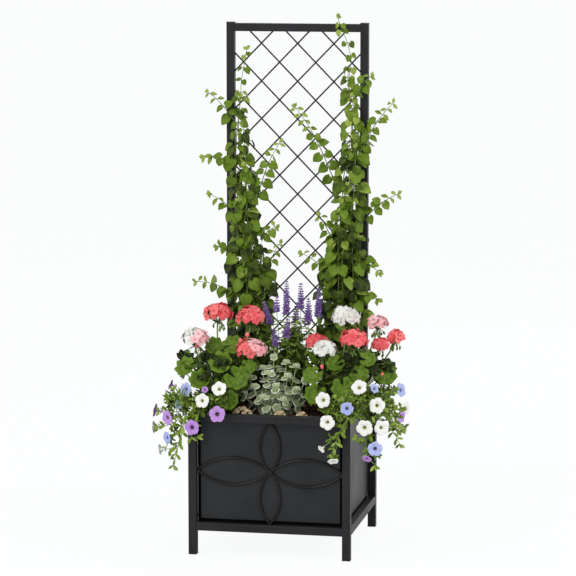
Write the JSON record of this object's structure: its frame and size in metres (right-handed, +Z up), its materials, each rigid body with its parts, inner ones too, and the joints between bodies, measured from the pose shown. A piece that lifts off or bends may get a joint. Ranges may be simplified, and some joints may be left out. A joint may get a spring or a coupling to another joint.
{
  "type": "planter with trellis",
  "caption": "Square metal planter box on legs with a bent-rod flower on its front panel, a tall open wire-lattice trellis bolted behind, and planted flowers and climbing vines.",
  "frame": {"origin": "on the floor, under the centre of the planter box and of the whole part's outline", "axes": "+X to the right seen from the front, +Y to the back where the trellis stands, +Z up"},
  "size_m": [0.6139, 0.4699, 1.303],
  "materials": {
    "frame_paint": "satin black powder coat",
    "panel_paint": "satin black powder coat",
    "rod_paint": "satin black powder coat",
    "fastener_steel": "black oxide",
    "black_plastic": "matte",
    "soil": "moist and crumbly",
    "bark": "rough chips",
    "silver_leaf": "downy",
    "geranium_leaf": "leafy",
    "coral_petals": "soft petals",
    "pink_petals": "soft petals",
    "white_petals": "soft petals",
    "salvia_leaf": "leafy",
    "salvia_flowers": "soft petals",
    "sedum_leaf": "waxy",
    "petunia_leaf": "leafy",
    "purple_petals": "soft petals",
    "blue_petals": "soft petals",
    "vine_leaf": "leafy"
  },
  "bodies": {
    "root": {"front_left_post": "frame_paint", "front_right_post": "frame_paint", "rear_left_post": "frame_paint", "rear_right_post": "frame_paint", "front_bottom_rail": "frame_paint", "rear_bottom_rail": "frame_paint", "left_bottom_rail": "frame_paint", "right_bottom_rail": "frame_paint", "front_top_rail": "frame_paint", "rear_top_rail": "frame_paint", "left_top_rail": "frame_paint", "right_top_rail": "frame_paint", "liner_bar_left": "frame_paint", "liner_bar_right": "frame_paint", "trellis_left_upright": "frame_paint", "trellis_right_upright": "frame_paint", "trellis_top_rail": "frame_paint", "trellis_bottom_rail": "frame_paint", "front_panel": "panel_paint", "rear_panel": "panel_paint", "left_panel": "panel_paint", "right_panel": "panel_paint", "flower_boss": "rod_paint", "right_petal": "rod_paint", "top_petal": "rod_paint", "left_petal": "rod_paint", "bottom_petal": "rod_paint", "rising_wires": "rod_paint", "falling_wires": "rod_paint", "trellis_bolts": "fastener_steel", "rivet_nuts": "fastener_steel", "foot_glides": "black_plastic", "post_caps": "black_plastic", "upright_caps": "black_plastic", "liner": "black_plastic", "potting_soil": "soil", "bark_mulch": "bark", "silver_plant": "silver_leaf", "left_geranium_leaves": "geranium_leaf", "right_geranium_leaves": "geranium_leaf", "geranium_stalks": "geranium_leaf", "coral_geranium_heads": "coral_petals", "pink_geranium_heads": "pink_petals", "white_geranium_heads": "white_petals", "white_petunias": "white_petals", "salvia_leaves": "salvia_leaf", "salvia_spikes": "salvia_flowers", "sedum": "sedum_leaf", "left_petunia_leaves": "petunia_leaf", "right_petunia_leaves": "petunia_leaf", "purple_petunias": "purple_petals", "blue_petunias": "blue_petals", "left_vine": "vine_leaf", "right_vine": "vine_leaf"}
  },
  "joints": []
}
